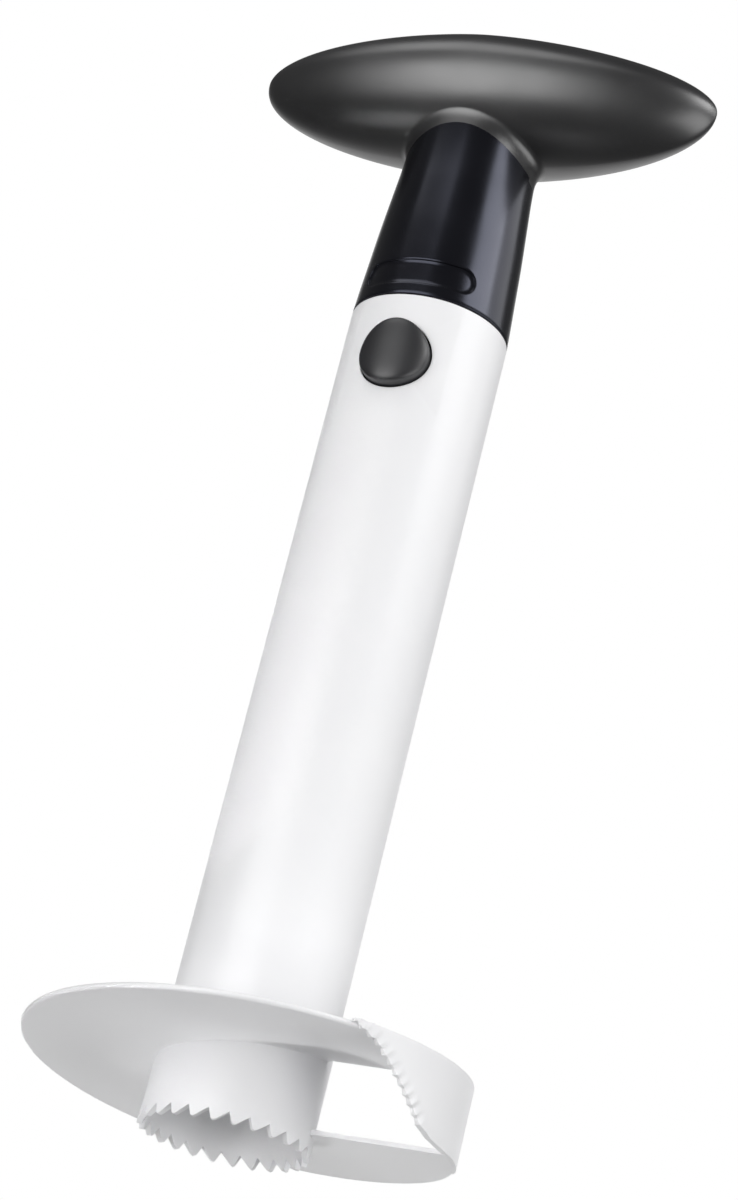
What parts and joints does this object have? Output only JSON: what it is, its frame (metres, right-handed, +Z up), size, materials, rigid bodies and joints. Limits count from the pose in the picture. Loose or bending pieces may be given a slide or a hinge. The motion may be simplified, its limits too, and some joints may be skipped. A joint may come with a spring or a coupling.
{
  "type": "pineapple slicer",
  "caption": "Pineapple corer and slicer: white toothed tube with a one-turn helical blade and serrated outer wall, under a black lift-off T-handle with push buttons.",
  "frame": {"origin": "on the tool's axis, level with the tips of the corer's teeth", "axes": "+Z up the tube towards the grip, +X along the grip and along the blade's leading lip, -Y out of the front button"},
  "size_m": [0.1024, 0.088, 0.2493],
  "materials": {
    "white_plastic": "semi-gloss moulded",
    "soft_black": "satin soft-touch overmould",
    "gloss_black": "polished",
    "core_plastic": "plain moulded",
    "button_grey": "fine satin",
    "steel": "bright wire and hardware"
  },
  "bodies": {
    "slicer": {"tube": "white_plastic", "corer_ring": "white_plastic", "blade": "white_plastic"},
    "handle": {"soft_grip": "soft_black", "grip_core": "core_plastic", "neck": "gloss_black", "plug": "core_plastic", "plug_cap": "core_plastic", "handle_screw": "steel", "screw_washer": "steel", "spring_front": "steel", "spring_rear": "steel"},
    "front_button": {"button_front": "button_grey"},
    "rear_button": {"button_rear": "button_grey"}
  },
  "joints": [
    {"name": "handle_lift", "type": "slide", "parent": "slicer", "child": "handle", "axis": [0, 0, 1], "range_m": [0, 0.175]},
    {"name": "front_press", "type": "slide", "parent": "handle", "child": "front_button", "axis": [0, 1, 0], "range_m": [0, 0.0053], "stiffness_N_per_m": 600, "springref_m": -0.004, "deforming": ["spring_front"]},
    {"name": "rear_press", "type": "slide", "parent": "handle", "child": "rear_button", "axis": [0, -1, 0], "range_m": [0, 0.0053], "stiffness_N_per_m": 600, "springref_m": -0.004, "deforming": ["spring_rear"]}
  ]
}
